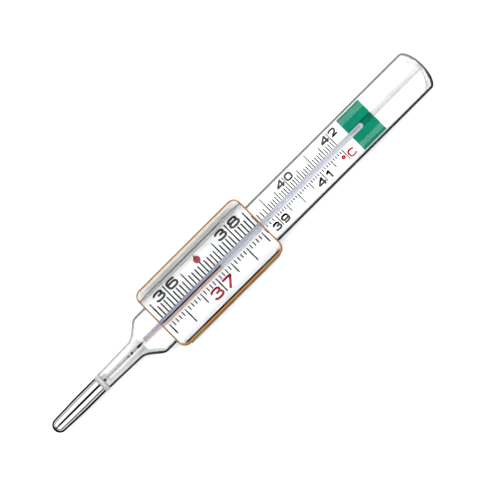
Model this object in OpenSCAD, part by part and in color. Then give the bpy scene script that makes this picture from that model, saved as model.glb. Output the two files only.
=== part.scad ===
// Clinical thermometer with an enclosed scale: a flattened glass body on a round stem and
// bulb, a capillary with its liquid column in front of a white scale plate, and a clear
// bar magnifier with an orange rim that slides along the body.
// It lies on its flat back: X runs from the bulb to the top, Z points out of the scale.

/* [Overall] */
// Length from the tip of the bulb to the top of the glass
total_l = 130; // [128:0.5:140]

/* [Glass body] */
// Width of the flattened body
body_w = 12; // [11.6:0.1:12.6]
// Thickness of the flattened body
body_t = 7; // [6.6:0.1:7.6]
// Thickness of the glass wall
glass_wall = 0.55; // [0.5:0.05:0.8]
// Radius of the rounded top end
end_r = 7.6; // [7:0.1:9]
// Length over which the stem widens into the body
shoulder_l = 7; // [6:0.1:8]

/* [Stem] */
// Diameter of the stem next to the seal
stem_low_d = 4.7; // [4.5:0.05:5]
// Diameter of the stem next to the shoulder
stem_high_d = 5.2; // [5:0.05:5.6]
// Length of the straight stem
stem_l = 10.7; // [9:0.1:12]
// Diameter of the hollow through the stem
stem_bore_d = 3; // [2.6:0.05:3.4]

/* [Bulb] */
// Length of the bulb, from its tip to the seal
bulb_l = 16.5; // [14:0.5:18]
// Diameter of the bulb next to the seal
bulb_d = 4.4; // [4.1:0.05:4.6]
// Diameter of the bulb where its tip starts to round
bulb_tip_d = 3.9; // [3.6:0.05:4.05]
// Length of the straight part of the bulb, below the seal
bulb_straight_l = 7; // [5:0.5:9]
// Thickness of the bulb's glass
bulb_wall = 0.35; // [0.25:0.05:0.5]
// Width of the fused bead that joins the bulb and the stem
seal_l = 1.1; // [0.8:0.1:1.4]
// Diameter of the fused bead
seal_d = 4.95; // [4.8:0.05:5.3]
// How far the bulb's neck reaches above the seal, inside the stem
neck_l = 1.4; // [1:0.1:2]

/* [Capillary] */
// Outside diameter of the capillary tube
capillary_d = 1.5; // [1.3:0.05:1.7]
// Bore of the capillary below 39
bore_d = 0.32; // [0.28:0.01:0.36]
// Diameter of the liquid thread
thread_d = 0.26; // [0.2:0.01:0.27]
// Distance from the foot of the capillary to the constriction
constriction_up = 8.5; // [6:0.5:10]
// Bore at the constriction, where the thread parts on cooling
constriction_d = 0.2; // [0.16:0.01:0.24]
// Bore of the small chamber above the constriction
chamber_d = 0.6; // [0.45:0.01:0.75]
// Length of the small chamber
chamber_l = 2.1; // [1.5:0.1:2.5]

/* [Scale] */
// Distance from the end of the shoulder to the lowest graduation
scale_up = 3.9; // [3:0.1:5]
// Length of one degree below 39, where the bore is narrow
pitch_reading = 10.85; // [10.4:0.05:11.4]
// Length of one degree above 39, where the bore is wider
pitch_upper = 7.8; // [7.4:0.05:8.2]
// Temperature that the column shows
shown_t = 37.3; // [36.5:0.1:38.5]
// Thickness of the scale plate
plate_t = 0.5; // [0.4:0.05:0.7]
// Width of a printed line in the reading range
reading_line_w = 0.38; // [0.25:0.01:0.42]
// Width of a printed line above the reading range
line_w = 0.28; // [0.18:0.01:0.32]
// Height of the print above the plate
ink_t = 0.06; // [0.04:0.01:0.1]
// Gap between the capillary's side and the print
print_gap = 0.1; // [0.05:0.01:0.2]
// Length of the fever mark at 37, which looks round under the magnifier
fever_mark_l = 1.9; // [1.6:0.1:2.2]
// Width of the fever mark, across the scale
fever_mark_w = 1.3; // [1:0.1:1.5]
// Length of the coloured clip that holds the top of the capillary
clip_l = 7.6; // [6.5:0.1:8.5]
// Distance from the highest graduation to the clip
clip_up = 4.1; // [3.5:0.1:4.5]
// How far the capillary reaches into the clip
clip_hold = 4.2; // [3:0.1:5]
// Diameter of the spacer between the clip and the top of the glass
spacer_d = 1.5; // [1.2:0.1:1.5]

/* [Magnifier] */
// Length of the magnifier over its rim
mag_l = 35.6; // [34:0.2:36]
// Width of the magnifier over its rim
mag_w = 18.5; // [18:0.1:20]
// Radius of the rim's corners
mag_corner_r = 2.2; // [1.8:0.1:3]
// Thickness of the coloured rim
rim_wall = 0.4; // [0.35:0.05:0.6]
// Height of the coloured rim
rim_h = 2.4; // [2:0.1:2.8]
// Radius of the lens's round face
lens_r = 13.5; // [12.5:0.1:16]
// Thickness of the lens in the middle
lens_t = 4.6; // [4.4:0.1:5.4]
// Thickness of the carrier's frame under the lens
frame_t = 0.6; // [0.5:0.05:0.8]
// Width of the carrier's frame and thickness of its side rails
frame_w = 1; // [0.8:0.05:1.3]
// Length of each of the four jaws that hold the body
jaw_l = 5; // [4:0.5:7]
// Height of the jaws
jaw_h = 2.6; // [2.2:0.1:3]
// Distance from the back of the body to the foot of the rails
rail_foot = 1.5; // [1.2:0.1:1.8]

/* [Clearances] */
// Gap between the body and the parts of the magnifier that slide on it
slide_gap = 0.15; // [0.1:0.01:0.25]
// Gap between pieces that are assembled and stay
fit_gap = 0.04; // [0.02:0.01:0.06]

/* [Hidden] */
$fn = 96;

// Temperatures: ends of the scale, end of the reading range, where the bore widens, and the fever mark
t_low = 35.5;
t_reading = 38.5;
t_split = 39;
t_high = 42;
t_fever = 37;
lines_per_degree = 10;
long_line_every = 5;

// Distances from the tip of the bulb, along the axis
seal_s = bulb_l;
stem_s = seal_s + seal_l;
neck_top_s = stem_s + neck_l;
shoulder_s = stem_s + stem_l;
body_s = shoulder_s + shoulder_l;
scale_s = body_s + scale_up;
split_s = scale_s + (t_split - t_low) * pitch_reading;
clip_s = split_s + (t_high - t_split) * pitch_upper + clip_up;
clip_top_s = clip_s + clip_l;
capillary_top_s = clip_s + clip_hold;
constriction_s = neck_top_s + constriction_up;
column_s = graduation_s(shown_t);
mag_s = graduation_s(t_fever);

// Heights above the back of the body
axis_z = body_t / 2;
plate_top_z = axis_z - capillary_d / 2 - fit_gap;
plate_z = plate_top_z - plate_t;
frame_z = body_t + slide_gap;
lens_z = frame_z + frame_t;

// Glass
side_r = body_t / 2;
inner_w = body_w - 2 * glass_wall;
inner_t = body_t - 2 * glass_wall;
shoulder_over = 0.5;
shoulder_steps = 16;
neck_d = stem_bore_d - 2 * fit_gap;
neck_bore_d = bore_d;
bulb_inner_d = bulb_d - 2 * bulb_wall;
bulb_inner_tip_d = bulb_tip_d - 2 * bulb_wall;
bulb_top_wall = 0.9;
bulb_taper_s = bulb_l - bulb_straight_l;

// Capillary and column: the wider upper bore holds the same volume to a degree on fewer millimetres
upper_bore_d = bore_d * sqrt(pitch_reading / pitch_upper);
bore_end_gap = 0.8;
constriction_l = 1.2;
chamber_gap = 0.7;
chamber_blunt_l = 0.3;
thread_gap = (bore_d - thread_d) / 2;
tip_piece_l = 5;
thread_foot_s = bulb_l - bulb_top_wall - fit_gap;
chamber_s = constriction_s + constriction_l + chamber_gap;
thread_part_s = chamber_s + chamber_l + thread_d;

// Print
plate_half_w = inner_w / 2 - side_r + glass_wall + round_reach(plate_z) - fit_gap;
plate_shoulder_l = 0.8;
plate_foot_l = 4.3;
plate_foot_half_w = 2.2;
card_end_gap = 0.9;
groove_gap = 0.08;
line_start = capillary_d / 2 + print_gap;
edge_margin = 0.1;
fever_mark_y = 3.95;
// Lengths of short, half-degree and whole-degree lines in the reading range, and above it
upper_full = plate_half_w - edge_margin - line_start;
upper_reading = [2.15, 3.35, upper_full];
upper_rest = [1.8, 2.9, upper_full];
lower_reading = [0.85, 2.2, 3.05];
lower_rest = [0.8, 2.2, 3.2];

// Magnifier
lens_l = mag_l - 2 * rim_wall - 2 * fit_gap;
lens_w = mag_w - 2 * rim_wall - 2 * fit_gap;
lens_corner_r = mag_corner_r - rim_wall - fit_gap;
rail_top_z = frame_z;

// How far a cut runs past the faces that it opens, and a size beyond the whole object
cut_over = 1;
big = 4 * total_l;

// Where a temperature lies along the axis
function graduation_s(t) =
    t <= t_split
        ? scale_s + (t - t_low) * pitch_reading
        : split_s + (t - t_split) * pitch_upper;

// How far the round side of the hollow reaches past its centre at a height
function round_reach(z) = sqrt(pow(inner_t / 2, 2) - pow(axis_z - z, 2));

// Radius of an S-shaped widening from r0 to r1, at share t of its length
function s_curve(r0, r1, t) = r0 + (r1 - r0) * (1 - cos(180 * t)) / 2;

// Outline of a stem that widens into a body: distances are along the axis
function stem_outline(foot_s, foot_r, stem_r, body_r, top_s) = concat(
    [[0, foot_s], [foot_r, foot_s]],
    [for (i = [0 : shoulder_steps])
        [s_curve(stem_r, body_r, i / shoulder_steps), shoulder_s + shoulder_l * i / shoulder_steps]],
    [[body_r, top_s], [0, top_s]]
);

// Places a child that is drawn along X from the bulb's tip, on the axis of the glass
module on_axis(s = 0) {
    translate([s - total_l / 2, 0, axis_z]) children();
}

// Turns an outline of radius and distance about the axis
module spun() {
    on_axis() rotate([0, 90, 0]) rotate_extrude() children();
}

// Draws a cross-section of Y and Z over a length along X, from distance s
module drawn_along(s, length) {
    translate([s - total_l / 2, 0, 0]) rotate([90, 0, 90]) linear_extrude(length) children();
}

// Flattened round cross-section, centred
module flat_round(w, t) {
    square([w - t, t], center = true);
    for (side = [-1, 1]) translate([side * (w - t) / 2, 0]) circle(d = t);
}

// Rounded rectangle, centred
module round_rect(l, w, r) {
    square([l - 2 * r, w], center = true);
    square([l, w - 2 * r], center = true);
    for (x = [-1, 1], y = [-1, 1])
        translate([x * (l / 2 - r), y * (w / 2 - r)]) circle(r);
}

// Plate with rounded corners, centred on the magnifier
module mag_plate(l, w, r, z, h) {
    translate([mag_s - total_l / 2, 0, z]) linear_extrude(h) round_rect(l, w, r);
}

// Everything beyond the rounded top of a glass whose end has radius r
module beyond_end(r) {
    centre_s = total_l - end_r;
    difference() {
        on_axis(centre_s) translate([0, -total_l / 2, -total_l / 2]) cube(total_l);
        on_axis(centre_s) sphere(r);
    }
}

// One-piece glass: round stem, shoulder, flattened body and rounded top
module glass_envelope() {
    color("aliceblue", 0.4) difference() {
        intersection() {
            translate([0, 0, axis_z]) drawn_along(0, total_l) flat_round(body_w, body_t);
            spun() polygon(stem_outline(
                stem_s, stem_low_d / 2, stem_high_d / 2, body_w / 2 + shoulder_over, total_l));
        }
        intersection() {
            translate([0, 0, axis_z]) drawn_along(0, total_l) flat_round(inner_w, inner_t);
            spun() polygon(stem_outline(
                stem_s - cut_over, stem_bore_d / 2, stem_bore_d / 2, inner_w / 2 + shoulder_over, total_l));
            difference() {
                on_axis(total_l / 2) cube([big, big, big], center = true);
                beyond_end(end_r - glass_wall);
            }
        }
        beyond_end(end_r);
    }
}

// Outline of the bulb: its round tip, taper and straight part, taken in by a wall
module bulb_outline(wall, top_s) {
    tip_r = bulb_tip_d / 2;
    intersection() {
        union() {
            translate([0, tip_r]) circle(tip_r - wall);
            polygon([
                [0, tip_r], [tip_r - wall, tip_r], [bulb_d / 2 - wall, bulb_taper_s],
                [bulb_d / 2 - wall, top_s], [0, top_s]
            ]);
        }
        square([bulb_d, total_l]);
    }
}

// Thin glass bulb, with a neck that passes through the seal into the stem
module bulb_glass() {
    color("aliceblue", 0.4) difference() {
        spun() {
            bulb_outline(0, seal_s);
            translate([0, bulb_taper_s]) square([neck_d / 2, neck_top_s - bulb_taper_s]);
        }
        spun() {
            bulb_outline(bulb_wall, bulb_l - bulb_top_wall);
            square([neck_bore_d / 2, neck_top_s + cut_over]);
        }
    }
}

// Liquid metal that fills the bulb
module bulb_liquid() {
    color("silver") spun() bulb_outline(bulb_wall + fit_gap, bulb_l - bulb_top_wall - fit_gap);
}

// Bead of glass where the bulb and the stem are fused
module seal_bead() {
    edge_r = seal_l / 2;
    color("gainsboro") spun() translate([0, seal_s]) difference() {
        union() {
            square([seal_d / 2 - edge_r, seal_l]);
            translate([seal_d / 2 - edge_r, edge_r]) circle(edge_r);
        }
        translate([0, -cut_over]) square([stem_bore_d / 2, seal_l + 2 * cut_over]);
        translate([-big, -big / 2]) square(big);
    }
}

// Outline of the bore or the thread up to top_s, all taken in by a gap: the constriction, then the chamber,
// which opens bluntly at its foot and tapers to its top
module bore_outline(foot_s, top_s, gap) {
    r = bore_d / 2 - gap;
    narrow_r = constriction_d / 2 - gap;
    chamber_r = chamber_d / 2 - gap;
    taper = constriction_l / 2;
    polygon([
        [0, foot_s], [r, foot_s],
        [r, constriction_s - constriction_l], [narrow_r, constriction_s - taper],
        [narrow_r, constriction_s + taper], [r, constriction_s + constriction_l],
        [r, chamber_s + gap], [chamber_r, chamber_s + chamber_blunt_l + gap],
        [r, chamber_s + chamber_l - gap], [r, top_s], [0, top_s]
    ]);
}

// Thick-walled capillary with a round closed top, a constriction and a wider upper bore
module capillary_tube() {
    r = capillary_d / 2;
    color("lavender", 0.5) difference() {
        spun() {
            translate([0, neck_top_s]) square([r, capillary_top_s - r - neck_top_s]);
            intersection() {
                translate([0, capillary_top_s - r]) circle(r);
                translate([0, capillary_top_s - r]) square(r);
            }
        }
        spun() {
            bore_outline(neck_top_s - cut_over, split_s, 0);
            translate([0, split_s])
                square([upper_bore_d / 2, capillary_top_s - bore_end_gap - split_s]);
        }
    }
}

// Thread of liquid that stays low in the glass: from the bulb, through the constriction and the chamber
module neck_thread() {
    color("dimgray") spun() bore_outline(thread_foot_s, thread_part_s, thread_gap);
}

// Thread of liquid above the chamber, up to the foot of the tip, which lengthens and shortens
module liquid_thread() {
    color("dimgray") spun() translate([0, thread_part_s])
        square([thread_d / 2, column_s - tip_piece_l - thread_part_s]);
}

// Top of the liquid column, with its rounded meniscus, which rises and falls
module column_tip() {
    r = thread_d / 2;
    foot_s = column_s - tip_piece_l;
    color("dimgray") spun() {
        translate([0, foot_s]) square([r, tip_piece_l - r]);
        intersection() {
            translate([0, column_s - r]) circle(r);
            translate([0, column_s - r]) square(r);
        }
    }
}

// White plate behind the capillary, with its edges against the round sides of the hollow,
// and a tapered foot in the shoulder
module scale_plate() {
    wide_s = body_s - plate_shoulder_l;
    foot_s = body_s - plate_foot_l;
    color("white") translate([-total_l / 2, 0, plate_z]) linear_extrude(plate_t) polygon([
        [foot_s, -plate_foot_half_w], [wide_s, -plate_half_w], [clip_s, -plate_half_w],
        [clip_s, plate_half_w], [wide_s, plate_half_w], [foot_s, plate_foot_half_w]
    ]);
}

// White card above the clip, which carries on the plate and ends round, below the top of the glass
module end_card() {
    color("white") difference() {
        translate([clip_top_s - total_l / 2, -plate_half_w, plate_z])
            cube([total_l - clip_top_s, 2 * plate_half_w, plate_t]);
        beyond_end(end_r - glass_wall - card_end_gap);
    }
}

// A printed line across the plate, from its start beside the capillary; side is 1 or -1
module printed_line(s, length, width, side) {
    translate([s - total_l / 2, side * (line_start + length / 2), plate_top_z + ink_t / 2])
        cube([width, length, ink_t], center = true);
}

// A row of graduations on one side of the capillary, with its lengths in the reading range and above it
module graduation(side, reading, rest) {
    first = round(t_low * lines_per_degree);
    for (i = [first : round(t_high * lines_per_degree)]) {
        in_reading = i <= round(t_reading * lines_per_degree);
        lengths = in_reading ? reading : rest;
        kind = i % lines_per_degree == 0 ? 2 : i % long_line_every == 0 ? 1 : 0;
        width = in_reading ? reading_line_w : line_w;
        printed_line(graduation_s(i / lines_per_degree), lengths[kind], width, side);
    }
}

module upper_lines() {
    color("black") graduation(1, upper_reading, upper_rest);
}

module lower_lines() {
    color("black") graduation(-1, lower_reading, lower_rest);
}

// Mark printed over the line at 37, long enough to look round under the magnifier
module fever_mark() {
    color("crimson")
        translate([graduation_s(t_fever) - total_l / 2, fever_mark_y, plate_top_z + ink_t])
            linear_extrude(ink_t) flat_round(fever_mark_l, fever_mark_w);
}

// Coloured clip above the plate, with a groove for the closed top of the capillary
module end_clip() {
    groove_w = capillary_d + 2 * groove_gap;
    clip_h = plate_t + capillary_d;
    color("seagreen") difference() {
        translate([clip_s - total_l / 2, -plate_half_w, plate_z]) cube([clip_l, 2 * plate_half_w, clip_h]);
        translate([clip_s - total_l / 2 - cut_over, -groove_w / 2, plate_top_z])
            cube([clip_l + 2 * cut_over, groove_w, clip_h]);
    }
}

// Rod that keeps the clip and the plate from moving up, between the clip and the top of the glass
module spacer_rod() {
    color("whitesmoke") difference() {
        on_axis(clip_top_s) rotate([0, 90, 0])
            cylinder(d = spacer_d, h = total_l - clip_top_s);
        beyond_end(end_r - glass_wall - fit_gap);
    }
}

// Clear bar lens with a flat back and a round face
module magnifier_lens() {
    color("azure", 0.4) intersection() {
        mag_plate(lens_l, lens_w, lens_corner_r, lens_z, lens_t);
        translate([mag_s - total_l / 2, 0, lens_z + lens_t - lens_r]) rotate([0, 90, 0])
            cylinder(r = lens_r, h = 2 * mag_l, center = true);
    }
}

// Coloured rim round the lens and the carrier's frame
module magnifier_rim() {
    color("darkorange") difference() {
        mag_plate(mag_l, mag_w, mag_corner_r, frame_z, rim_h);
        mag_plate(mag_l - 2 * rim_wall, mag_w - 2 * rim_wall, mag_corner_r - rim_wall,
            frame_z - cut_over, rim_h + 2 * cut_over);
    }
}

// Clear carrier: a frame under the lens, two side rails, and jaws round the sides of the body
module magnifier_carrier() {
    rail_l = lens_l - 2 * lens_corner_r;
    rail_y = lens_w / 2 - frame_w;
    color("azure", 0.4) difference() {
        union() {
            difference() {
                mag_plate(lens_l, lens_w, lens_corner_r, frame_z, frame_t);
                mag_plate(
                    lens_l - 2 * frame_w, lens_w - 2 * frame_w, lens_corner_r - frame_w / 2,
                    frame_z - cut_over, frame_t + 2 * cut_over);
            }
            for (side = [0, 1]) mirror([0, side, 0]) {
                translate([mag_s - total_l / 2 - rail_l / 2, rail_y, rail_foot])
                    cube([rail_l, frame_w, rail_top_z - rail_foot + frame_t]);
                for (end = [-1, 1])
                    translate([
                        mag_s - total_l / 2 + end * (rail_l - jaw_l) / 2 - jaw_l / 2,
                        (body_w - body_t) / 2, rail_foot
                    ])
                        cube([jaw_l, rail_y - (body_w - body_t) / 2 + frame_w / 2, jaw_h]);
            }
        }
        translate([0, 0, axis_z]) drawn_along(0, total_l)
            flat_round(body_w + 2 * slide_gap, body_t + 2 * slide_gap);
    }
}

glass_envelope();
bulb_glass();
bulb_liquid();
seal_bead();
capillary_tube();
neck_thread();
liquid_thread();
column_tip();
scale_plate();
upper_lines();
lower_lines();
fever_mark();
end_clip();
end_card();
spacer_rod();
magnifier_lens();
magnifier_rim();
magnifier_carrier();
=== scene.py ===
import math

import bmesh
import bpy
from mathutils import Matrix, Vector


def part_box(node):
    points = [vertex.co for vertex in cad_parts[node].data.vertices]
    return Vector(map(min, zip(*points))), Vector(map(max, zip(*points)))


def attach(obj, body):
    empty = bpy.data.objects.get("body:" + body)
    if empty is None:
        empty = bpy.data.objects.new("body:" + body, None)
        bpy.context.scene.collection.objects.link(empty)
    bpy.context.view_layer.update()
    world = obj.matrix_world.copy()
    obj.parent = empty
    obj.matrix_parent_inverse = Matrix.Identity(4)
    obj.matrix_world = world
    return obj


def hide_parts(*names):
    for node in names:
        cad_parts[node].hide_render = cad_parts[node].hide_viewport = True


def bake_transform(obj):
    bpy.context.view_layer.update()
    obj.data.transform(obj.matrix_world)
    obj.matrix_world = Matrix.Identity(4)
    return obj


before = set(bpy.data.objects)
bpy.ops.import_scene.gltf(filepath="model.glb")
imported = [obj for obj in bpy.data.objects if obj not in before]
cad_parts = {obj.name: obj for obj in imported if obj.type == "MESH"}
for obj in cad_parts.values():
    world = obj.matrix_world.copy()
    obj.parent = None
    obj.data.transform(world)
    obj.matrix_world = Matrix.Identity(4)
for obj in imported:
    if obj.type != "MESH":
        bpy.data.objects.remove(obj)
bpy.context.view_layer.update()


# Bulb liquid
# Liquid metal that fills the bulb up to its neck and wets the glass all round, so that the
# bulb looks like one long mirror. It is poured in before the capillary is fused on.
mm = 0.001
bulb_low, bulb_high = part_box("bulb_glass")
axis_z = (bulb_low.z + bulb_high.z) / 2
tip_x = bulb_low.x
bulb_r = (bulb_high.z - bulb_low.z) / 2
bulb_tip_r = 1.95 * mm
bulb_tip_steps = 16
bulb_wall = 0.35 * mm
bulb_taper_x = tip_x + 9.5 * mm
seal_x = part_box("seal_bead")[0].x
liquid_top_x = seal_x - 0.3 * mm
wetted = 0.01 * mm
merge_gap = 0.001 * mm
crease = math.radians(35)


def arc(centre_x, centre_r, radius, start, end, steps):
    """Points of a round stretch of an outline; the angles are in degrees from the axis."""
    turns = [math.radians(start + (end - start) * i / steps) for i in range(steps + 1)]
    return [(centre_x + radius * math.cos(a), centre_r + radius * math.sin(a)) for a in turns]


def new_mesh(name):
    """An empty mesh at the origin, open in edit mode."""
    bpy.ops.object.select_all(action="DESELECT")
    bpy.ops.mesh.primitive_plane_add(size=mm)
    piece = bpy.context.object
    piece.name = piece.data.name = name
    bpy.ops.object.mode_set(mode="EDIT")
    bpy.ops.mesh.select_all(action="SELECT")
    bpy.ops.mesh.delete(type="VERT")
    return piece


def draw_line(points):
    """Draws a line of edges through points, in the mesh that is being edited."""
    bpy.ops.mesh.select_all(action="DESELECT")
    bpy.ops.mesh.primitive_plane_add(size=mm)
    bpy.ops.mesh.merge(type="CENTER")
    bpy.ops.transform.translate(value=points[0])
    for near, far in zip(points, points[1:]):
        step = [f - n for n, f in zip(near, far)]
        bpy.ops.mesh.extrude_vertices_move(TRANSFORM_OT_translate={"value": step})


def turned_piece(name, outline, turns=96):
    """Spins an outline of (x, radius) points round the axis of the glass."""
    piece = new_mesh(name)
    draw_line([(x, 0, axis_z + r) for x, r in outline])
    bpy.ops.mesh.select_all(action="SELECT")
    bpy.ops.mesh.spin(steps=turns, angle=2 * math.pi, center=(0, 0, axis_z), axis=(1, 0, 0))
    bpy.ops.mesh.select_all(action="SELECT")
    bpy.ops.mesh.remove_doubles(threshold=merge_gap)
    bpy.ops.mesh.normals_make_consistent(inside=False)
    bpy.ops.object.mode_set(mode="OBJECT")
    bpy.ops.object.shade_smooth_by_angle(angle=crease)
    return piece


def bulb_outline(inset, top_x):
    """The bulb's own outline, taken in by an inset, from its tip to the top."""
    tip = arc(tip_x + bulb_tip_r, 0, bulb_tip_r - inset, 180, 90, bulb_tip_steps)
    return tip + [(bulb_taper_x, bulb_r - inset), (top_x, bulb_r - inset)]


bulb_liquid = turned_piece(
    "bulb_liquid_fill",
    bulb_outline(bulb_wall - wetted, liquid_top_x) + [(liquid_top_x, 0)],
)


def new_group(name, inputs, outputs):
    """A shader node group with named sockets; gives the group and its input and output nodes."""
    group = bpy.data.node_groups.new(name, "ShaderNodeTree")
    for label, kind, default in inputs:
        socket = group.interface.new_socket(label, in_out="INPUT", socket_type=kind)
        socket.default_value = default
    for label, kind in outputs:
        group.interface.new_socket(label, in_out="OUTPUT", socket_type=kind)
    return group, group.nodes.new("NodeGroupInput"), group.nodes.new("NodeGroupOutput")


def noise_in(group, waves, detail=3.0):
    """Noise on Object coordinates in a group, with so many waves a metre along X, Y and Z."""
    place = group.nodes.new("ShaderNodeTexCoord")
    mapping = group.nodes.new("ShaderNodeMapping")
    mapping.inputs["Scale"].default_value = waves
    noise = group.nodes.new("ShaderNodeTexNoise")
    noise.inputs["Scale"].default_value = 1
    noise.inputs["Detail"].default_value = detail
    group.links.new(place.outputs["Object"], mapping.inputs["Vector"])
    group.links.new(mapping.outputs["Vector"], noise.inputs["Vector"])
    return noise.outputs["Fac"]


# Most of a noise's values lie between these
noise_low = 0.3
noise_high = 0.7


def spread_in(group, value, low, high):
    """Spreads a noise value over a range; low and high are sockets."""
    spread = group.nodes.new("ShaderNodeMapRange")
    spread.inputs["From Min"].default_value = noise_low
    spread.inputs["From Max"].default_value = noise_high
    group.links.new(value, spread.inputs["Value"])
    group.links.new(low, spread.inputs["To Min"])
    group.links.new(high, spread.inputs["To Max"])
    return spread.outputs["Result"]


# Fine lines along the piece, left by drawing, and soft smears left by handling
smear_waves = (120, 300, 300)
line_waves = (40, 1500, 1500)
drawn_marks, marks_in, marks_out = new_group(
    "drawn marks",
    [("Clean", "NodeSocketFloat", 0.0), ("Smeared", "NodeSocketFloat", 0.05)],
    [("Roughness", "NodeSocketFloat"), ("Height", "NodeSocketFloat")],
)
smears = noise_in(drawn_marks, smear_waves)
lines = noise_in(drawn_marks, line_waves, detail=2.0)
drawn_marks.links.new(
    spread_in(drawn_marks, smears, marks_in.outputs["Clean"], marks_in.outputs["Smeared"]),
    marks_out.inputs["Roughness"],
)
drawn_marks.links.new(lines, marks_out.inputs["Height"])


def new_material(name):
    """A material with a Principled shader; gives the material, its node tree and the shader."""
    material = bpy.data.materials.new(name)
    material.use_nodes = True
    tree = material.node_tree
    return material, tree, tree.nodes["Principled BSDF"]


def place_group(tree, group, **values):
    """Places a group in a material with its own values."""
    node = tree.nodes.new("ShaderNodeGroup")
    node.node_tree = group
    for label, value in values.items():
        node.inputs[label.replace("_", " ")].default_value = value
    return node


def raise_bump(tree, shader, height, depth):
    """Bumps a shader's surface by a height, over a depth in metres."""
    bump = tree.nodes.new("ShaderNodeBump")
    bump.inputs["Distance"].default_value = depth
    bump.inputs["Strength"].default_value = 1
    tree.links.new(height, bump.inputs["Height"])
    tree.links.new(bump.outputs["Normal"], shader.inputs["Normal"])


metal_line_depth = 0.002 * mm


def metal_finish(name, colour, clean, smeared):
    """Liquid metal with a colour and a range of roughness."""
    material, tree, shader = new_material(name)
    shader.inputs["Base Color"].default_value = (*colour, 1)
    shader.inputs["Metallic"].default_value = 1
    marks = place_group(tree, drawn_marks, Clean=clean, Smeared=smeared)
    tree.links.new(marks.outputs["Roughness"], shader.inputs["Roughness"])
    raise_bump(tree, shader, marks.outputs["Height"], metal_line_depth)
    return material


bulb_liquid.data.materials.append(
    metal_finish("bright liquid metal", (0.93, 0.94, 0.95), clean=0.01, smeared=0.05)
)
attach(bulb_liquid, "thermometer")
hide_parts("bulb_liquid")


# Bulb glass
# A thin vessel blown from glass tube and closed round at its tip. Its neck, with a fine bore,
# goes through the seal into the stem and carries the capillary.
neck_r = 1.46 * mm
neck_bore_r = 0.16 * mm
cavity_top_x = liquid_top_x + wetted

bulb_glass = turned_piece(
    "bulb_glass_wall",
    bulb_outline(0, seal_x)
    + [(seal_x, neck_r), (bulb_high.x, neck_r)]
    + [(bulb_high.x, neck_bore_r), (cavity_top_x, neck_bore_r)]
    + bulb_outline(bulb_wall, cavity_top_x)[::-1],
)


def grey(level):
    """A grey as a colour."""
    return (level, level, level, 1)


def glass_finish(
    name, tint, clean, smeared, ior=1.5, depth=0.001 * mm, specular=0.08, clear=1.0, mirror=1.0
):
    """Drawn glass or clear plastic: a tint, a range of roughness, how clear it is, and how much
    of its mirroring is left by a coat."""
    material, tree, shader = new_material(name)
    shader.inputs["Base Color"].default_value = (*tint, 1)
    shader.inputs["Transmission Weight"].default_value = clear
    shader.inputs["IOR"].default_value = ior
    shader.inputs["Specular IOR Level"].default_value = specular
    shader.inputs["Specular Tint"].default_value = grey(mirror)
    marks = place_group(tree, drawn_marks, Clean=clean, Smeared=smeared)
    tree.links.new(marks.outputs["Roughness"], shader.inputs["Roughness"])
    raise_bump(tree, shader, marks.outputs["Height"], depth)
    return material


clear_glass = glass_finish("clear drawn glass", (0.995, 0.998, 0.996), clean=0.0, smeared=0.02)
bulb_glass.data.materials.append(clear_glass)
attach(bulb_glass, "thermometer")
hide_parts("bulb_glass")


# Seal bead
# The bead of glass where the bulb and the stem are fused in the flame. It is slightly milky
# from working, and stands a little proud of both.
bead_low, bead_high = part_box("seal_bead")
bead_r = (bead_high.z - bead_low.z) / 2
bead_round = (bead_high.x - bead_low.x) / 2
bead_bore_r = 1.5 * mm
bead_steps = 16

seal_bead = turned_piece(
    "seal_bead_glass",
    [(bead_low.x, bead_bore_r)]
    + arc(bead_low.x + bead_round, bead_r - bead_round, bead_round, 180, 0, bead_steps)
    + [(bead_high.x, bead_bore_r), (bead_low.x, bead_bore_r)],
)
seal_bead.data.materials.append(
    glass_finish("flame-worked glass", (0.6, 0.585, 0.54), clean=0.05, smeared=0.25, clear=0.5)
)
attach(seal_bead, "thermometer")
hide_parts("seal_bead")


# Capillary
# A thick-walled glass tube with a hair-fine bore, drawn in one length and closed round at its
# top. It is fused to the bulb's neck and lies before the scale plate.
capillary_low, capillary_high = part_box("capillary_tube")
capillary_r = (capillary_high.z - capillary_low.z) / 2
capillary_end_steps = 12
capillary_turns = 64
bore_r = 0.09 * mm
bore_end_x = capillary_high.x - 0.8 * mm

capillary = turned_piece(
    "capillary_glass_tube",
    [(capillary_low.x, bore_r), (capillary_low.x, capillary_r)]
    + arc(capillary_high.x - capillary_r, 0, capillary_r, 90, 0, capillary_end_steps)
    + [(bore_end_x, 0), (bore_end_x - bore_r, bore_r), (capillary_low.x, bore_r)],
    turns=capillary_turns,
)
capillary.data.materials.append(
    glass_finish("capillary glass", (0.95, 0.96, 0.985), clean=0.0, smeared=0.03)
)
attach(capillary, "thermometer")
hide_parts("capillary_tube")


# Liquid in the capillary
# Liquid metal that the bulb drives up the bore: a hair with a few drops in the stem, a swelling
# in the small chamber at the constriction, and then a fine line up to the round meniscus.
neck_thread_low, neck_thread_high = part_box("neck_thread")
thread_r = bore_r + 0.003 * mm
thread_turns = 24
hair_r = 0.03 * mm
drops = [
    (tip_x + 18.0 * mm, 0.3 * mm), (tip_x + 26.2 * mm, 0.2 * mm), (tip_x + 27.4 * mm, 0.3 * mm),
]
drop_steps = 8
chamber_x = tip_x + 29.4 * mm
chamber_r = 0.27 * mm
chamber_wide_x = chamber_x + 0.3 * mm
chamber_end_x = chamber_x + 2.1 * mm
narrow_r = 0.06 * mm


def drop(x, radius):
    """A round swelling of the hair-fine thread."""
    angle = math.degrees(math.asin(hair_r / radius))
    return arc(x, 0, radius, 180 - angle, angle, drop_steps)


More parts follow.
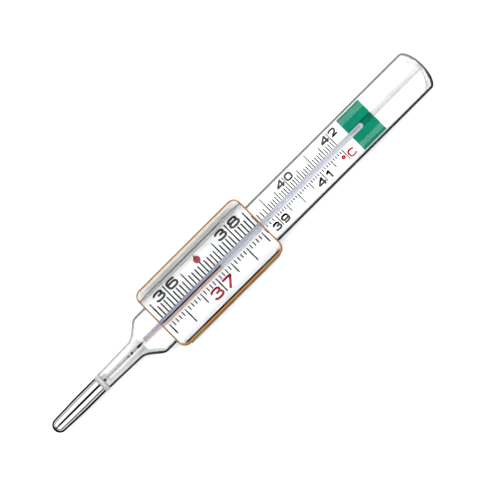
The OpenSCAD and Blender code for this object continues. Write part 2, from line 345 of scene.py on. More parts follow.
neck_thread = turned_piece(
    "neck_thread_line",
    [(neck_thread_low.x, 0), (neck_thread_low.x, hair_r)]
    + [point for place in drops for point in drop(*place)]
    + [(chamber_x, hair_r), (chamber_wide_x, chamber_r), (chamber_end_x, narrow_r)]
    + [(neck_thread_high.x, narrow_r), (neck_thread_high.x, 0)],
    turns=thread_turns,
)
# The same liquid metal as the bulb's, painted nearly black: painted shade on the thread
shade_painted_metal = metal_finish("liquid metal thread with painted shade", (0.03, 0.028, 0.03), clean=0.3, smeared=0.45)
neck_thread.data.materials.append(shade_painted_metal)
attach(neck_thread, "thermometer")
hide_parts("neck_thread")

thread_low, thread_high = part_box("liquid_thread")
thread_l = thread_high.x - thread_low.x
thread_rings = 48
wide_x = tip_x + 38.2 * mm
rise = [thread_low.x + thread_l * i / thread_rings for i in range(thread_rings + 1)]
liquid_thread = turned_piece(
    "rising_thread_line",
    [(rise[0], 0), (rise[0], narrow_r), (wide_x - thread_r, narrow_r)]
    + [(x, thread_r) for x in rise if x > wide_x]
    + [(rise[-1], 0)],
    turns=thread_turns,
)
liquid_thread.data.materials.append(shade_painted_metal)
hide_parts("liquid_thread")
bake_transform(liquid_thread)

column_low, column_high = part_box("column_tip")
meniscus_steps = 8
column_tip = turned_piece(
    "column_tip_meniscus",
    [(column_low.x, 0), (column_low.x, thread_r)]
    + arc(column_high.x - thread_r, 0, thread_r, 90, 0, meniscus_steps),
    turns=thread_turns,
)
column_tip.data.materials.append(shade_painted_metal)
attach(column_tip, "column")
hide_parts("column_tip")


# Scale plate
# A strip of white opal plastic behind the capillary, with its edges against the round sides of
# the glass. The graduation is printed on its face. The opal has a painted glow: it glows as if lit
# from behind, though no lamp is there.
cloud_waves = (300, 300, 300)
grain_waves = (6000, 6000, 6000)
grain_depth = 0.003 * mm
# Colour sockets of a mix node: its two inputs and its result
mix_first, mix_second, mix_result = 6, 7, 2


def blend_colours(tree, factor, first, second):
    """Mixes two colours by a factor; each is a socket or a colour."""
    mixed = tree.nodes.new("ShaderNodeMix")
    mixed.data_type = "RGBA"
    tree.links.new(factor, mixed.inputs["Factor"])
    for number, colour in ((mix_first, first), (mix_second, second)):
        if isinstance(colour, bpy.types.NodeSocket):
            tree.links.new(colour, mixed.inputs[number])
        else:
            mixed.inputs[number].default_value = colour
    return mixed.outputs[mix_result]


moulded_skin, skin_in, skin_out = new_group(
    "moulded skin",
    [
        ("Colour", "NodeSocketColor", (1, 1, 1, 1)),
        ("Second colour", "NodeSocketColor", (1, 1, 1, 1)),
        ("Smooth", "NodeSocketFloat", 0.3),
        ("Dull", "NodeSocketFloat", 0.45),
    ],
    [
        ("Colour", "NodeSocketColor"),
        ("Roughness", "NodeSocketFloat"),
        ("Height", "NodeSocketFloat"),
    ],
)
cloud = noise_in(moulded_skin, cloud_waves)
grain = noise_in(moulded_skin, grain_waves, detail=2.0)
moulded_skin.links.new(
    blend_colours(
        moulded_skin, cloud, skin_in.outputs["Colour"], skin_in.outputs["Second colour"]
    ),
    skin_out.inputs["Colour"],
)
moulded_skin.links.new(
    spread_in(moulded_skin, cloud, skin_in.outputs["Smooth"], skin_in.outputs["Dull"]),
    skin_out.inputs["Roughness"],
)
moulded_skin.links.new(grain, skin_out.inputs["Height"])


def moulded_finish(name, colour, second, smooth, dull, specular=0.5, painted_glow=0.0):
    """Moulded plastic or printed ink: two clouded colours, a range of roughness, a fine grain,
    and a painted glow, light that the surface gives off though it is no lamp."""
    material, tree, shader = new_material(name)
    shader.inputs["Specular IOR Level"].default_value = specular
    shader.inputs["Emission Color"].default_value = (1, 1, 1, 1)
    shader.inputs["Emission Strength"].default_value = painted_glow
    skin = place_group(
        tree,
        moulded_skin,
        Colour=(*colour, 1),
        Second_colour=(*second, 1),
        Smooth=smooth,
        Dull=dull,
    )
    tree.links.new(skin.outputs["Colour"], shader.inputs["Base Color"])
    tree.links.new(skin.outputs["Roughness"], shader.inputs["Roughness"])
    raise_bump(tree, shader, skin.outputs["Height"], grain_depth)
    return material


def finish_node(node, material):
    """Gives a CAD node its material."""
    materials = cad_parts[node].data.materials
    materials.clear()
    materials.append(material)


# The plate's painted glow: emission that brightens it, though nothing lights it from behind
white_opal = moulded_finish(
    "white opal", (0.96, 0.96, 0.965), (0.94, 0.94, 0.95), smooth=0.4, dull=0.6, painted_glow=0.35
)
finish_node("scale_plate", white_opal)


# Capillary backing
# A stripe of pale enamel fired on behind the capillary, which ends round, as the capillary does.
# Its upper half is painted bluer and darker, a painted reflection, and it has a painted glow.
# Where the thread stands before it, a stripe of painted sheen lies on the enamel, blue above and
# rosy below: a painted reflection of the liquid.
backing_half_w = 0.48 * mm
backing_sides = 32
backing_x0 = tip_x + 31.8 * mm
backing_x1 = capillary_high.x - 0.25 * mm
backing_z = capillary_low.z - 0.03 * mm
sheen_z = capillary_low.z - 0.015 * mm
stripe_t = 0.012 * mm
tone_reach = 0.5 * mm
tone_edge = [(0.12 * mm, 0), (0.2 * mm, 1)]
painted_enamel_glow = 0.25


def select_vertices(piece, test):
    """Leaves only the vertices selected whose place passes a test."""
    bpy.ops.mesh.select_mode(type="VERT")
    bpy.ops.mesh.select_all(action="DESELECT")
    mesh = bmesh.from_edit_mesh(piece.data)
    for vertex in mesh.verts:
        vertex.select_set(test(vertex.co))
    mesh.select_flush_mode()
    bmesh.update_edit_mesh(piece.data)


def round_stripe(name, x0, x1, z):
    """A thin flat stripe from x0 to x1 with round ends: a disc, drawn out from its middle."""
    piece = new_mesh(name)
    middle_x = x1 - backing_half_w
    bpy.ops.mesh.primitive_circle_add(
        vertices=backing_sides, radius=backing_half_w, fill_type="NGON"
    )
    bpy.ops.transform.translate(value=(middle_x, 0, z))
    select_vertices(piece, lambda at: at.x < middle_x - merge_gap)
    bpy.ops.transform.translate(value=(x0 - (middle_x - backing_half_w), 0, 0))
    bpy.ops.mesh.select_all(action="SELECT")
    bpy.ops.mesh.extrude_region_move(TRANSFORM_OT_translate={"value": (0, 0, stripe_t)})
    bpy.ops.mesh.select_all(action="SELECT")
    bpy.ops.mesh.normals_make_consistent(inside=False)
    bpy.ops.object.mode_set(mode="OBJECT")
    return piece


def ramp(tree, value, low, high, levels):
    """A ramp of grey levels over a value; the levels are (value, grey) from low to high."""
    share = tree.nodes.new("ShaderNodeMapRange")
    share.inputs["From Min"].default_value = low
    share.inputs["From Max"].default_value = high
    colours = tree.nodes.new("ShaderNodeValToRGB")
    stops = colours.color_ramp.elements
    while len(stops) < len(levels):
        stops.new(0.5)
    for stop, (at, level) in zip(stops, levels):
        stop.position = (at - low) / (high - low)
        stop.color = grey(level)
    tree.links.new(value, share.inputs["Value"])
    tree.links.new(share.outputs["Result"], colours.inputs["Fac"])
    return colours.outputs["Color"]


def place_in(tree):
    """The X and Y of Object coordinates in a material."""
    place = tree.nodes.new("ShaderNodeTexCoord")
    parts = tree.nodes.new("ShaderNodeSeparateXYZ")
    tree.links.new(place.outputs["Object"], parts.inputs["Vector"])
    return parts.outputs["X"], parts.outputs["Y"]


def two_tone_finish(name, low_colours, high_colours):
    """Enamel with one pair of clouded colours on its lower half and another on its upper half; the
    two tones are painted reflection, and the colour glows as painted light.
    """
    material, tree, shader = new_material(name)
    upper_half = ramp(tree, place_in(tree)[1], -tone_reach, tone_reach, tone_edge)
    low, high = (
        place_group(tree, moulded_skin, Colour=(*first, 1), Second_colour=(*second, 1))
        for first, second in (low_colours, high_colours)
    )
    colour = blend_colours(tree, upper_half, low.outputs["Colour"], high.outputs["Colour"])
    tree.links.new(colour, shader.inputs["Base Color"])
    tree.links.new(colour, shader.inputs["Emission Color"])
    shader.inputs["Emission Strength"].default_value = painted_enamel_glow
    tree.links.new(high.outputs["Roughness"], shader.inputs["Roughness"])
    raise_bump(tree, shader, high.outputs["Height"], grain_depth)
    return material


# Pale enamel, its upper half painted bluer and darker as a painted reflection, with a painted glow
backing = round_stripe("capillary_backing_stripe", backing_x0, backing_x1, backing_z)
backing.data.materials.append(
    two_tone_finish(
        "pale enamel",
        ((0.76, 0.77, 0.81), (0.73, 0.74, 0.79)),
        ((0.6, 0.63, 0.74), (0.57, 0.6, 0.72)),
    )
)
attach(backing, "thermometer")

# Painted reflection of the liquid: a stripe of painted sheen, blue above and rosy below
sheen = round_stripe("thread_painted_sheen_stripe", backing_x0, column_high.x, sheen_z)
sheen.data.materials.append(
    two_tone_finish(
        "two-tone painted sheen",
        ((0.82, 0.59, 0.53), (0.8, 0.56, 0.5)),
        ((0.46, 0.5, 0.69), (0.43, 0.47, 0.66)),
    )
)
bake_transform(sheen)


# Graduation
# Lines printed in black ink on both sides of the capillary, with a red dot over the line at 37.
# The ink is matt, screened on, and stands a few hundredths of a millimetre above the plate.
inks = {
    "black_ink": moulded_finish(
        "black screen ink",
        (0.002, 0.002, 0.0025), (0.006, 0.006, 0.007), smooth=0.5, dull=0.7, specular=0.0,
    ),
    "red_ink": moulded_finish(
        "red screen ink",
        (0.36, 0.002, 0.014), (0.42, 0.004, 0.02), smooth=0.5, dull=0.7, specular=0.0,
    ),
}
finish_node("upper_lines", inks["black_ink"])
finish_node("lower_lines", inks["black_ink"])
finish_node("fever_mark", inks["red_ink"])


# Numerals
# Wide plain figures that straddle the whole-degree lines, even ones above the capillary and odd
# ones below, with 37 and the unit in red. They are screened on with the graduation.
lines_low, lines_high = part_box("upper_lines")
reading_line_w = 0.38 * mm
line_w = 0.28 * mm
scale_low_t, split_t, scale_high_t = 35.5, 39, 42
scale_low_x = lines_low.x + reading_line_w / 2
scale_high_x = lines_high.x - line_w / 2
reading_pitch = 10.85 * mm
split_x = scale_low_x + (split_t - scale_low_t) * reading_pitch
upper_pitch = (scale_high_x - split_x) / (scale_high_t - split_t)
ink_z = lines_low.z
ink_h = 0.05 * mm
figure_w = 1.7 * mm
figure_gap = 0.6 * mm
figure_round = 0.62 * mm
round_steps = 8
stroke_roundness = 1
reading_stroke_w = 0.44 * mm
upper_stroke_w = 0.54 * mm
unit_stroke_w = 0.48 * mm
reading_rows = (3.38 * mm, 4.86 * mm)
fever_rows = (-3.78 * mm, -2.05 * mm)
upper_rows = (3.15 * mm, 4.79 * mm)
lower_rows = (-3.96 * mm, -2.27 * mm)
reading_stretch = 1.55

# Strokes of each figure, on a square of side 1; their corners are rounded later
figures = {
    "0": [[(0.5, 0), (1, 0), (1, 1), (0, 1), (0, 0), (0.5, 0)]],
    "1": [[(0.1, 0.78), (0.6, 1.04)], [(0.6, 1.14), (0.6, -0.14)]],
    "2": [[(0, 0.72), (0, 1), (1, 1), (1, 0.5), (0.04, 0)], [(0, 0), (1.04, 0)]],
    "3": [
        [(0.04, 0.76), (0.04, 1), (0.93, 1), (0.93, 0.54), (0.38, 0.54)],
        [(0.6, 0.54), (0.99, 0.54), (0.99, 0), (0.03, 0), (0.03, 0.27)],
    ],
    "4": [
        [(0.84, -0.14), (0.84, 1.14)],
        [(0.84, 1.06), (-0.12, 0.3)],
        [(-0.22, 0.26), (1.2, 0.26)],
    ],
    "6": [[(0.96, 0.8), (0.96, 1), (0, 1), (0, 0), (1, 0), (1, 0.6), (0.02, 0.6)]],
    "7": [[(-0.12, 1), (0.97, 1)], [(0.93, 1), (0.04, -0.1)]],
    "8": [
        [(0.5, 0), (1, 0), (1, 0.54), (0, 0.54), (0, 0), (0.5, 0)],
        [(0.5, 0.54), (0.94, 0.54), (0.94, 1), (0.06, 1), (0.06, 0.54), (0.5, 0.54)],
    ],
    "9": [[(0.04, 0.2), (0.04, 0), (1, 0), (1, 1), (0, 1), (0, 0.4), (0.98, 0.4)]],
    "C": [[(1, 0.76), (1, 1), (0, 1), (0, 0), (1, 0), (1, 0.24)]],
    "o": [[(0.8, 0.62), (1, 0.62), (1, 1), (0.6, 1), (0.6, 0.62), (0.8, 0.62)]],
}


def degree_x(t):
    """Where a temperature lies along the scale."""
    if t <= split_t:
        return scale_low_x + (t - scale_low_t) * reading_pitch
    return split_x + (t - split_t) * upper_pitch


def rounded(stroke):
    """A stroke with its corners rounded, each as far as its two sides leave room."""
    points = [stroke[0]]
    for i in range(1, len(stroke) - 1):
        corner = stroke[i]
        cuts = []
        for near, end in ((stroke[i - 1], i == 1), (stroke[i + 1], i == len(stroke) - 2)):
            side = math.dist(near, corner)
            share = min(figure_round, side if end else side / 2) / side
            cuts.append([c + (n - c) * share for n, c in zip(near, corner)])
        for k in range(round_steps + 1):
            t = k / round_steps
            before, on, after = (1 - t) ** 2, 2 * t * (1 - t), t * t
            points.append(
                tuple(before * p + on * c + after * q for p, c, q in zip(cuts[0], corner, cuts[1]))
            )
    return points + [stroke[-1]]


def placed_strokes(mark, t, rows, stretch):
    """Strokes of a two-figure mark on both sides of a line; x is drawn before the stretch."""
    middle = degree_x(t) / stretch
    starts = (middle - figure_gap - figure_w, middle + figure_gap)
    low, high = rows
    return [
        rounded([(x0 + px * figure_w, low + py * (high - low)) for px, py in stroke])
        for figure, x0 in zip(mark, starts)
        for stroke in figures[figure]
    ]


def printed_figures(name, marks, stroke_w, ink, stretch=1.0):
    """Prints marks of (figures, temperature, rows) in an ink, as flat strokes of one width."""
    new_mesh(name)
    for mark in marks:
        for stroke in placed_strokes(*mark, stretch):
            draw_line([(x, y, 0) for x, y in stroke])
    bpy.ops.mesh.select_all(action="SELECT")
    bpy.ops.mesh.remove_doubles(threshold=merge_gap)
    bpy.ops.object.mode_set(mode="OBJECT")
    bpy.ops.object.convert(target="CURVE")
    strokes = bpy.context.object.data
    strokes.bevel_depth = stroke_w / 2
    strokes.bevel_resolution = stroke_roundness
    strokes.use_fill_caps = True
    bpy.ops.object.convert(target="MESH")
    piece = bpy.context.object
    bpy.ops.object.mode_set(mode="EDIT")
    bpy.ops.mesh.select_all(action="SELECT")
    flat = ink_h / stroke_w
    bpy.ops.transform.resize(value=(stretch, 1, flat), center_override=(0, 0, 0))
    bpy.ops.transform.translate(value=(0, 0, ink_z + ink_h / 2))
    bpy.ops.object.mode_set(mode="OBJECT")
    piece.data.materials.clear()
    piece.data.materials.append(inks[ink])
    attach(piece, "thermometer")


printed_figures(
    "reading_figures_black",
    [("36", 36, reading_rows), ("38", 38, reading_rows)],
    reading_stroke_w,
    "black_ink",
    reading_stretch,
)
printed_figures(
    "reading_figures_red", [("37", 37, fever_rows)], reading_stroke_w, "red_ink", reading_stretch
)
printed_figures(
    "upper_figures_black",
    [
        ("39", 39, lower_rows),
        ("40", 40, upper_rows),
        ("41", 41, lower_rows),
        ("42", 42, upper_rows),
    ],
    upper_stroke_w,
    "black_ink",
)
printed_figures("unit_mark_red", [("oC", 42, lower_rows)], unit_stroke_w, "red_ink")


# End card
# A card of the same white opal above the clip, which carries on the plate up to the top. It lies
# behind the rod.
# The card carries the same painted glow as the plate.
finish_node("end_card", white_opal)


# End clip
# A moulded green block above the plate. The capillary's round top lies in its groove, and the
# block keeps the plate from sliding up.
clip_low, clip_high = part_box("end_clip")
groove_half_w = capillary_r + 0.08 * mm
groove_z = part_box("scale_plate")[1].z
clip_edge = 0.12 * mm
edge_steps = 3
past = 1 * mm


def block(name, low, high):
    """A box between two corners, with its place in its mesh."""
    bpy.ops.object.select_all(action="DESELECT")
    bpy.ops.mesh.primitive_cube_add(size=1)
    piece = bpy.context.object
    piece.name = piece.data.name = name
    bpy.ops.object.mode_set(mode="EDIT")
    bpy.ops.mesh.select_all(action="SELECT")
    bpy.ops.transform.resize(value=[h - l for l, h in zip(low, high)], center_override=(0, 0, 0))
    bpy.ops.transform.translate(value=[(h + l) / 2 for l, h in zip(low, high)])
    bpy.ops.object.mode_set(mode="OBJECT")
    return piece


def apply_modifier(piece, kind, **settings):
    """Adds a modifier with its settings and applies it."""
    bpy.ops.object.select_all(action="DESELECT")
    bpy.context.view_layer.objects.active = piece
    piece.select_set(True)
    modifier = piece.modifiers.new(kind.lower(), kind)
    for label, value in settings.items():
        setattr(modifier, label, value)
    bpy.ops.object.modifier_apply(modifier=modifier.name)


def shape_by(piece, operation, shape):
    """Cuts a piece by a shape, or keeps only what lies within it, and removes the shape."""
    apply_modifier(piece, "BOOLEAN", operation=operation, object=shape, solver="EXACT")
    bpy.data.objects.remove(shape)


end_clip = block("end_clip_block", clip_low, clip_high)
groove = block(
    "groove",
    (clip_low.x - past, -groove_half_w, groove_z),
    (clip_high.x + past, groove_half_w, clip_high.z + past),
)
shape_by(end_clip, "DIFFERENCE", groove)
apply_modifier(end_clip, "BEVEL", width=clip_edge, segments=edge_steps, limit_method="ANGLE")
bpy.ops.object.shade_smooth_by_angle(angle=crease)
end_clip.data.materials.append(
    moulded_finish(
        "green moulding",
        (0.0, 0.21, 0.12), (0.001, 0.25, 0.145), smooth=0.4, dull=0.55, specular=0.05,
    )
)
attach(end_clip, "thermometer")
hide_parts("end_clip")


# Spacer rod
# A pale drawn rod between the clip and the top of the glass. It keeps the clip, the plate and
# the capillary from shifting in transport.
rod_low, rod_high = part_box("spacer_rod")
rod_r = (rod_high.z - rod_low.z) / 2
rod_edge = 0.25 * mm
rod_edge_steps = 6
rod_turns = 48

spacer_rod = turned_piece(
    "spacer_rod_pale",
    [(rod_low.x, 0)]
    + arc(rod_low.x + rod_edge, rod_r - rod_edge, rod_edge, 180, 90, rod_edge_steps)
    + arc(rod_high.x - rod_edge, rod_r - rod_edge, rod_edge, 90, 0, rod_edge_steps)
    + [(rod_high.x, 0)],
    turns=rod_turns,
)
spacer_rod.data.materials.append(
    moulded_finish("pale rod", (0.7, 0.7, 0.69), (0.66, 0.66, 0.65), smooth=0.45, dull=0.6)
)
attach(spacer_rod, "thermometer")
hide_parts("spacer_rod")


# Glass envelope
# One piece of clear tube, flattened over most of its length, drawn in at the shoulder to a round
# stem, and closed round at the top in the flame. Its hollow holds the plate and the capillary.
glass_low, glass_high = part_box("glass_envelope")
body_half_w = (glass_high.y - glass_low.y) / 2
body_half_t = (glass_high.z - glass_low.z) / 2
glass_wall = 0.55 * mm
glass_crease = math.radians(40)
tube_sides = 96
stem_low_r = 2.35 * mm
stem_middle_x = glass_low.x + 3 * mm
stem_middle_r = 2.42 * mm
stem_high_r = 2.6 * mm
shoulder_x = tip_x + 28.3 * mm
shoulder_l = 7.0 * mm
shoulder_over = 0.5 * mm
shoulder_soft = 0.25 * mm
shoulder_steps = 28
body_rings = 6
end_r = 7.4 * mm
end_steps = 24
end_last_angle = 1
corner_r = 1.0 * mm
corner_steps = 10


def soft_least(a, b):
    """The lesser of two lengths, with the change from one to the other rounded off."""
    return (a + b - math.sqrt((a - b) ** 2 + shoulder_soft**2)) / 2


def shoulder_station(t):
    """Place, half width and half thickness of the glass at share t of the shoulder."""
    widest = body_half_w + shoulder_over
    reach = stem_high_r + (widest - stem_high_r) * (1 - math.cos(math.pi * t)) / 2
    soft_w = soft_least(reach, body_half_w) + shoulder_soft**2 / 4 / shoulder_over
    half_w = min(body_half_w, soft_w)
    return (shoulder_x + shoulder_l * t, half_w, min(half_w, body_half_t, reach))


def end_stations():
    """Stations of the closed top: a rounded corner, then an arc up to the crown."""
    end_x = glass_high.x - end_r
    corner_w = body_half_w - corner_r
    corner_x = end_x + math.sqrt((end_r - corner_r) ** 2 - corner_w**2)
    turn = math.degrees(math.atan2(corner_w, corner_x - end_x))
    corner = arc(corner_x, corner_w, corner_r, 90, turn, corner_steps)
    crown = arc(end_x, 0, end_r, turn, end_last_angle, end_steps)
    depth = glass_high.x - corner_x
    return [
        (x, w, body_half_t * math.sqrt(max(0, 1 - ((x - corner_x) / depth) ** 2)))
        for x, w in corner + crown[1:]
    ]


def flattened_tube(name, stations):
    """Draws a round ring along X through stations of (x, half width, half thickness), opening it
    into two half rounds joined by flats, and closes it at the last station. Each step opens the
    ring outwards, also where the stations narrow, so the closed top is fuller than they say."""
    piece = new_mesh(name)
    x0, w0, t0 = stations[0]
    bpy.ops.mesh.primitive_circle_add(vertices=tube_sides, radius=t0)
    half_side = math.pi / tube_sides
    bpy.ops.transform.rotate(value=half_side, orient_axis="Z", center_override=(0, 0, 0))
    bpy.ops.transform.rotate(value=math.pi / 2, orient_axis="Y", center_override=(0, 0, 0))
    bpy.ops.transform.translate(value=(x0, 0, axis_z))
    spread0 = w0 - t0
    for x1, w1, t1 in stations[1:]:
        bpy.ops.mesh.extrude_region_move(TRANSFORM_OT_translate={"value": (x1 - x0, 0, 0)})
        grow = t1 / t0
        bpy.ops.transform.resize(value=(1, grow, grow), center_override=(x1, 0, axis_z))
        spread1 = w1 - t1
        opening = abs(spread1 - spread0 * grow)
        for side in (-1, 1):
            select_vertices(piece, lambda at: abs(at.x - x1) < merge_gap and at.y * side > 0)
            bpy.ops.transform.translate(value=(0, side * opening, 0))
        select_vertices(piece, lambda at: abs(at.x - x1) < merge_gap)
        x0, t0, spread0 = x1, t1, spread1
    bpy.ops.mesh.merge(type="CENTER")
    bpy.ops.mesh.select_all(action="SELECT")
    bpy.ops.mesh.normals_make_consistent(inside=False)
    bpy.ops.object.mode_set(mode="OBJECT")
    return piece


body_x0 = shoulder_x + shoulder_l
body_x1 = end_stations()[0][0]
envelope = flattened_tube(
    "glass_envelope_tube",
    [(glass_low.x, stem_low_r, stem_low_r), (stem_middle_x, stem_middle_r, stem_middle_r)]
    + [shoulder_station(i / shoulder_steps) for i in range(shoulder_steps + 1)]
    + [
        (body_x0 + (body_x1 - body_x0) * i / body_rings, body_half_w, body_half_t)
        for i in range(1, body_rings)
    ]
    + end_stations(),
)
apply_modifier(envelope, "SOLIDIFY", thickness=glass_wall, offset=-1)
bpy.ops.object.shade_smooth_by_angle(angle=glass_crease)
apply_modifier(envelope, "WEIGHTED_NORMAL", keep_sharp=True)
envelope.data.materials.append(clear_glass)
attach(envelope, "thermometer")
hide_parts("glass_envelope")


# Magnifier carrier
# A clear moulding that slides along the glass: a frame under the lens, two side rails, and four
# jaws that spring round the sides of the body.
plastic_ior = 1.49
clear_plastic = glass_finish(
    "clear moulded plastic", (0.995, 0.998, 0.998), clean=0.01, smeared=0.03, ior=plastic_ior
)
finish_node("magnifier_carrier", clear_plastic)


# Magnifier lens
# A bar of clear acrylic with a polished flat back, ground edges, and a round face that enlarges
# the scale across the thermometer. Its face has an anti-glare coat. It is glued into the rim.
lens_low, lens_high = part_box("magnifier_lens")
lens_half_w = (lens_high.y - lens_low.y) / 2
lens_r = 13.5 * mm
lens_centre_z = lens_high.z - lens_r
lens_corner_r = 1.76 * mm
lens_lift = 0.02 * mm
lens_turns = 80
lens_crease = math.radians(20)
lens_skin = 0.0002 * mm
glued = 0.06 * mm
block_corner_steps = 10
upright = 0.1


def rounded_block(name, low, high, corner):
    """A box with its four upright edges rounded."""
    piece = block(name, low, high)
    bpy.ops.object.mode_set(mode="EDIT")
    bpy.ops.mesh.select_mode(type="EDGE")
    bpy.ops.mesh.select_all(action="DESELECT")
    mesh = bmesh.from_edit_mesh(piece.data)
    for edge in mesh.edges:
        a, b = edge.verts
        edge.select_set(abs(a.co.x - b.co.x) + abs(a.co.y - b.co.y) < merge_gap)
    bmesh.update_edit_mesh(piece.data)
    bpy.ops.mesh.bevel(offset=corner, segments=block_corner_steps, affect="EDGES")
    bpy.ops.object.mode_set(mode="OBJECT")
    return piece


lens = new_mesh("magnifier_bar_lens")
lens_reach = math.asin((lens_half_w + past) / lens_r)
lens_angles = [-lens_reach + 2 * lens_reach * i / lens_turns for i in range(lens_turns + 1)]
lens_back_z = lens_low.z + lens_lift
lens_face = [(lens_r * math.sin(a), lens_centre_z + lens_r * math.cos(a)) for a in lens_angles]
lens_back = [(lens_face[-1][0], lens_back_z), (lens_face[0][0], lens_back_z), lens_face[0]]
draw_line([(lens_low.x - past, y, z) for y, z in lens_face + lens_back])
bpy.ops.mesh.select_all(action="SELECT")
bpy.ops.mesh.remove_doubles(threshold=merge_gap)
bpy.ops.mesh.edge_face_add()
bpy.ops.mesh.extrude_region_move(
    TRANSFORM_OT_translate={"value": (lens_high.x - lens_low.x + 2 * past, 0, 0)}
)
bpy.ops.mesh.select_all(action="SELECT")
bpy.ops.mesh.normals_make_consistent(inside=False)
bpy.ops.object.mode_set(mode="OBJECT")
lens_shape = rounded_block(
    "lens_shape",
    (lens_low.x - glued, lens_low.y - glued, lens_low.z - past),
    (lens_high.x + glued, lens_high.y + glued, lens_high.z + past),
    lens_corner_r + glued,
)
shape_by(lens, "INTERSECT", lens_shape)
bpy.ops.object.shade_smooth_by_angle(angle=lens_crease)
lens.data.materials.append(
    glass_finish(
        "polished acrylic",
        (0.998, 1.0, 1.0),
        clean=0.0,
        smeared=0.004,
        ior=plastic_ior,
        depth=lens_skin,
        specular=0.06,
        mirror=0.1,
    )
)
lens.data.materials.append(
    moulded_finish("ground edge", (0.62, 0.63, 0.63), (0.54, 0.55, 0.55), smooth=0.5, dull=0.7)
)
for face in lens.data.polygons:
    if abs(face.normal.z) < upright:
        face.material_index = 1
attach(lens, "magnifier")
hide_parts("magnifier_lens")


# Magnifier rim
# A thin band of orange plastic round the lens and the carrier's frame, moulded in one piece and
# glued on. Its upper and lower edges are slightly rounded.
rim_low, rim_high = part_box("magnifier_rim")
rim_wall = 0.4 * mm
rim_corner_r = 2.2 * mm
rim_edge = 0.12 * mm
rim_sharp = math.radians(50)

rim = rounded_block("magnifier_rim_band", rim_low, rim_high, rim_corner_r)
rim_hollow = rounded_block(
    "rim_hollow",
    (rim_low.x + rim_wall, rim_low.y + rim_wall, rim_low.z - past),
    (rim_high.x - rim_wall, rim_high.y - rim_wall, rim_high.z + past),
    rim_corner_r - rim_wall,
)
shape_by(rim, "DIFFERENCE", rim_hollow)
apply_modifier(
    rim, "BEVEL", width=rim_edge, segments=edge_steps, limit_method="ANGLE", angle_limit=rim_sharp
)
bpy.ops.object.shade_smooth_by_angle(angle=crease)
rim.data.materials.append(
    moulded_finish("orange moulding", (0.25, 0.1, 0.014), (0.3, 0.125, 0.02), smooth=0.3, dull=0.45)
)
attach(rim, "magnifier")
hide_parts("magnifier_rim")


# Floor
# A plain table top in one pale tone under the flat back of the glass. Where it is seen in a
# mirror, dark flags are painted on it beside the thermometer: painted dark reflections in the
# glass and bulb, in place of the table's glare.
floor_half = 2.0
table_tone = 0.8
table_roughness = 0.8
flags_l = 0.1
flags_w = 0.05
axis_fade = 0.004
# Painted flag greys: along the far side; on the near side; near and far by the bulb, by distance
far_greys = [(-0.05, 0.01), (-0.047, 0.5), (-0.037, 0.5), (-0.033, 0.24), (0.1, 0.24)]
near_grey = 0.04
bulb_near_greys = [
    (-0.05, 0.02), (-0.03, 0.02), (-0.027, 0.9), (-0.0125, 0.9), (-0.0105, 0.01), (0, 0.01),
]
bulb_far_greys = [(0, 0.01), (0.018, 0.01), (0.0205, 0.9), (0.05, 0.9)]
bulb_span = [(-0.05, 1), (-0.047, 0)]
# A lighter gap in the painted far flag beside the magnifier's rail
gap_grey = 0.9
gap_span = [(-0.0275, 0), (-0.027, 1), (0.008, 1), (0.0085, 0)]
gap_place = [(0.0083, 0), (0.0085, 1), (0.0095, 1), (0.0097, 0)]
# One matt bounce outweighs this many mirrored ones
matt_weight = 20

bpy.ops.object.select_all(action="DESELECT")
bpy.ops.mesh.primitive_plane_add(size=2 * floor_half)
floor = bpy.context.object
floor.name = floor.data.name = "floor"


def mirrored(tree):
    """A mask of what is seen by reflection, before any matt surface."""
    path = tree.nodes.new("ShaderNodeLightPath")
    matt = tree.nodes.new("ShaderNodeMath")
    matt.operation = "MULTIPLY"
    matt.inputs[1].default_value = matt_weight
    mask = tree.nodes.new("ShaderNodeMath")
    mask.operation = "GREATER_THAN"
    tree.links.new(path.outputs["Diffuse Depth"], matt.inputs[0])
    tree.links.new(path.outputs["Glossy Depth"], mask.inputs[0])
    tree.links.new(matt.outputs["Value"], mask.inputs[1])
    return mask.outputs["Value"]


table, table_tree, table_shader = new_material("pale table")
table_shader.inputs["Roughness"].default_value = table_roughness
table_shader.inputs["Specular IOR Level"].default_value = 0
along, aside = place_in(table_tree)
by_bulb = ramp(table_tree, along, -flags_l, flags_l, bulb_span)
in_gap = blend_colours(
    table_tree,
    ramp(table_tree, along, -flags_l, flags_l, gap_span),
    grey(0),
    ramp(table_tree, aside, 0, flags_w, gap_place),
)
painted_far_flag = blend_colours(
    table_tree, in_gap, ramp(table_tree, along, -flags_l, flags_l, far_greys), grey(gap_grey)
)
painted_far_flag = blend_colours(
    table_tree, by_bulb, painted_far_flag, ramp(table_tree, aside, 0, flags_w, bulb_far_greys)
)
painted_near_flag = blend_colours(
    table_tree, by_bulb, grey(near_grey), ramp(table_tree, aside, -flags_w, 0, bulb_near_greys)
)
far_side = ramp(table_tree, aside, -axis_fade, axis_fade, [(-axis_fade, 0), (axis_fade, 1)])
# Painted reflections: the dark flags show only where the table is seen in a mirror
painted_flags = blend_colours(table_tree, far_side, painted_near_flag, painted_far_flag)
table_tree.links.new(
    blend_colours(table_tree, mirrored(table_tree), grey(table_tone), painted_flags),
    table_shader.inputs["Base Color"],
)
floor.data.materials.append(table)


# Light
# A wide soft light overhead, brightest near the zenith and dark at the horizon. Where it is seen
# in a mirror, it shows a painted reflection of two long soft boxes, one on each side of the
# thermometer, with a dark gap between them; these boxes light nothing.
light_strength = 2.15
mirrored_strength = 1.1
# Angle from overhead in degrees, towards the far side, and brightness
lighting = [
    (-90, 0.0), (-76, 0.0), (-70, 0.25), (-42, 0.45), (-24, 1.4),
    (30, 1.5), (50, 0.9), (76, 0.2), (90, 0.0),
]
# Painted reflection: what mirrors show of the sky; it lights nothing
painted_soft_boxes = [
    (-90, 0.0), (-76, 0.0), (-73, 1.0), (-21, 1.0), (-19, 0.0),
    (11, 0.0), (13, 1.0), (73, 1.0), (76, 0.0), (90, 0.0),
]
# How far a direction leans along the thermometer where the light begins to fade, and where it ends
light_fades = 0.85
light_ends = 0.97

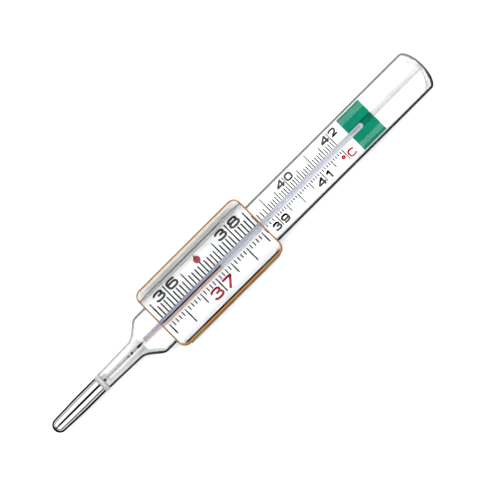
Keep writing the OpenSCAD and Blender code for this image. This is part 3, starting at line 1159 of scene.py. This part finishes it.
world = bpy.data.worlds.new("studio")
scene = bpy.context.scene
scene.world = world
world.use_nodes = True
sky = world.node_tree
background = sky.nodes["Background"]
direction = sky.nodes.new("ShaderNodeTexCoord")
lean = sky.nodes.new("ShaderNodeSeparateXYZ")
turn = sky.nodes.new("ShaderNodeMath")
turn.operation = "ARCTAN2"
sky.links.new(direction.outputs["Generated"], lean.inputs["Vector"])
sky.links.new(lean.outputs["Y"], turn.inputs[0])
sky.links.new(lean.outputs["Z"], turn.inputs[1])
in_mirror = mirrored(sky)
lit, seen = (
    ramp(
        sky,
        turn.outputs["Value"],
        -math.pi / 2,
        math.pi / 2,
        [(math.radians(angle), brightness) for angle, brightness in levels],
    )
    for levels in (lighting, painted_soft_boxes)
)
sky.links.new(blend_colours(sky, in_mirror, lit, seen), background.inputs["Color"])

ends = sky.nodes.new("ShaderNodeMath")
ends.operation = "ABSOLUTE"
fade = sky.nodes.new("ShaderNodeMapRange")
fade.inputs["From Min"].default_value = light_ends
fade.inputs["From Max"].default_value = light_fades
dimming = sky.nodes.new("ShaderNodeMapRange")
dimming.inputs["To Min"].default_value = light_strength
dimming.inputs["To Max"].default_value = mirrored_strength
strength = sky.nodes.new("ShaderNodeMath")
strength.operation = "MULTIPLY"
sky.links.new(lean.outputs["X"], ends.inputs[0])
sky.links.new(ends.outputs["Value"], fade.inputs["Value"])
sky.links.new(in_mirror, dimming.inputs["Value"])
sky.links.new(fade.outputs["Result"], strength.inputs[0])
sky.links.new(dimming.outputs["Result"], strength.inputs[1])
sky.links.new(strength.outputs["Value"], background.inputs["Strength"])

scene.view_settings.view_transform = "Standard"
scene.cycles.max_bounces = 32
scene.cycles.transmission_bounces = 32
scene.cycles.glossy_bounces = 12
scene.cycles.diffuse_bounces = 6


# Camera
# Almost straight above the scale with a long lens, tipped towards the lower edge of the body and
# turned so that the thermometer rises from the lower left to the upper right.
photo_w = 481
photo_h = 484
photo_tip = (54.4, 430.5)
photo_top = (422.2, 64.2)
camera_tilt = math.radians(8.0)
camera_far = 1.0
camera_near_clip = 0.01
photo_dx = photo_top[0] - photo_tip[0]
photo_dy = photo_tip[1] - photo_top[1]
roll = math.atan2(photo_dy, photo_dx)
pixel = (glass_high.x - tip_x) / math.hypot(photo_dx, photo_dy)

camera_data = bpy.data.cameras.new("camera")
camera = bpy.data.objects.new("camera", camera_data)
scene.collection.objects.link(camera)
scene.camera = camera
camera_data.sensor_fit = "HORIZONTAL"
camera_data.lens = camera_data.sensor_width * camera_far / (photo_w * pixel)
camera_data.clip_start = camera_near_clip
lengthwise = (1, 0, 0)
across = (0, math.cos(camera_tilt), math.sin(camera_tilt))
back = (0, -math.sin(camera_tilt), math.cos(camera_tilt))
right = [math.cos(roll) * l - math.sin(roll) * a for l, a in zip(lengthwise, across)]
up = [math.sin(roll) * l + math.cos(roll) * a for l, a in zip(lengthwise, across)]
off_right = (photo_w / 2 - (photo_tip[0] + photo_top[0]) / 2) * pixel
off_up = ((photo_tip[1] + photo_top[1]) / 2 - photo_h / 2) * pixel
middle = ((tip_x + glass_high.x) / 2, 0, axis_z)
eye = [
    m + off_right * r + off_up * u + camera_far * b for m, r, u, b in zip(middle, right, up, back)
]
camera.matrix_world = ((*right, 0), (*up, 0), (*back, 0), (*eye, 1))

bpy.context.view_layer.update()
